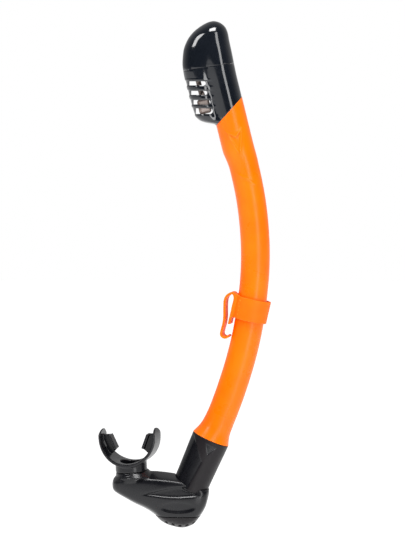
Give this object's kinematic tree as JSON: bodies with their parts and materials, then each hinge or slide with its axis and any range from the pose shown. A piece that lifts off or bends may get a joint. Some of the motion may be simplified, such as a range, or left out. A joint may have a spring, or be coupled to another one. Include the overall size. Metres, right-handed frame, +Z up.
{
  "type": "dry top snorkel",
  "caption": "Bent-barrel snorkel with a vented dry top and float valve, a sliding strap keeper, a purge chamber with one-way valve and a swivelling bite mouthpiece.",
  "frame": {"origin": "centre of the breathing port, where the mouthpiece's bore meets the mouth, at rest", "axes": "+Z up along the snorkel as it is worn, +X from the mouthpiece towards the barrel, Y across its depth"},
  "size_m": [0.1511, 0.034, 0.4414],
  "materials": {
    "barrel": "satin gloss, smooth extruded and moulded plastic",
    "keeper": "satin gloss moulding, flexible",
    "shell_black": "polished injection moulding",
    "collar_black": "fine satin moulding",
    "silicone_black": "smooth liquid silicone, semi-gloss",
    "inner_plastic": "plain moulding",
    "float_plastic": "dull moulding, slightly rough",
    "seal_rubber": "soft moulded seal",
    "valve_silicone": "thin translucent silicone",
    "pin_metal": "stainless steel"
  },
  "bodies": {
    "barrel": {"main_tube": "barrel", "dry_top_dome": "shell_black", "vented_housing": "shell_black", "inner_duct": "inner_plastic", "valve_seat": "inner_plastic", "duct_o_ring": "seal_rubber", "spigot_o_ring": "seal_rubber", "lever_pin": "pin_metal"},
    "float": {"float": "float_plastic", "float_carrier": "float_plastic"},
    "flap": {"flap_lever": "inner_plastic", "flap_seal": "seal_rubber"},
    "keeper": {"strap_keeper": "keeper"},
    "boot": {"lower_coupling": "collar_black", "purge_chamber": "silicone_black", "mouthpiece_connector": "inner_plastic", "purge_seat": "inner_plastic", "purge_cover": "collar_black"},
    "purge": {"purge_valve": "valve_silicone"},
    "mouthpiece": {"mouthpiece": "silicone_black"}
  },
  "joints": [
    {"name": "float_rise", "type": "slide", "parent": "barrel", "child": "float", "axis": [-0.2385, 0, 0.9711], "range_m": [0, 0.0041]},
    {"name": "flap_close", "type": "hinge", "parent": "barrel", "child": "flap", "pos_m": [0.06304, 0, 0.34442], "axis": [0, 1, 0], "range_deg": [0, 28.65]},
    {"name": "keeper_slide", "type": "hinge", "parent": "barrel", "child": "keeper", "pos_m": [-0.2234, 0, 0.1783], "axis": [0, 1, 0], "range_deg": [-19.5, 13]},
    {"name": "boot_swivel", "type": "hinge", "parent": "barrel", "child": "boot", "pos_m": [0.0813, 0, 0.04645], "axis": [-0.3971, 0, -0.9178], "range_deg": [-45, 45]},
    {"name": "mouthpiece_swivel", "type": "hinge", "parent": "boot", "child": "mouthpiece", "pos_m": [0, 0, 0], "axis": [-0.0523, 0, 0.9986], "range_deg": [-90, 90]},
    {"name": "purge_lift", "type": "slide", "parent": "boot", "child": "purge", "axis": [0, 0, -1], "range_m": [0, 0.0012], "stiffness_N_per_m": 40, "springref_m": -0.0005}
  ],
  "couplings": [
    {"joint": "flap_close", "follows": "float_rise", "rad_per_m": 121.95}
  ]
}
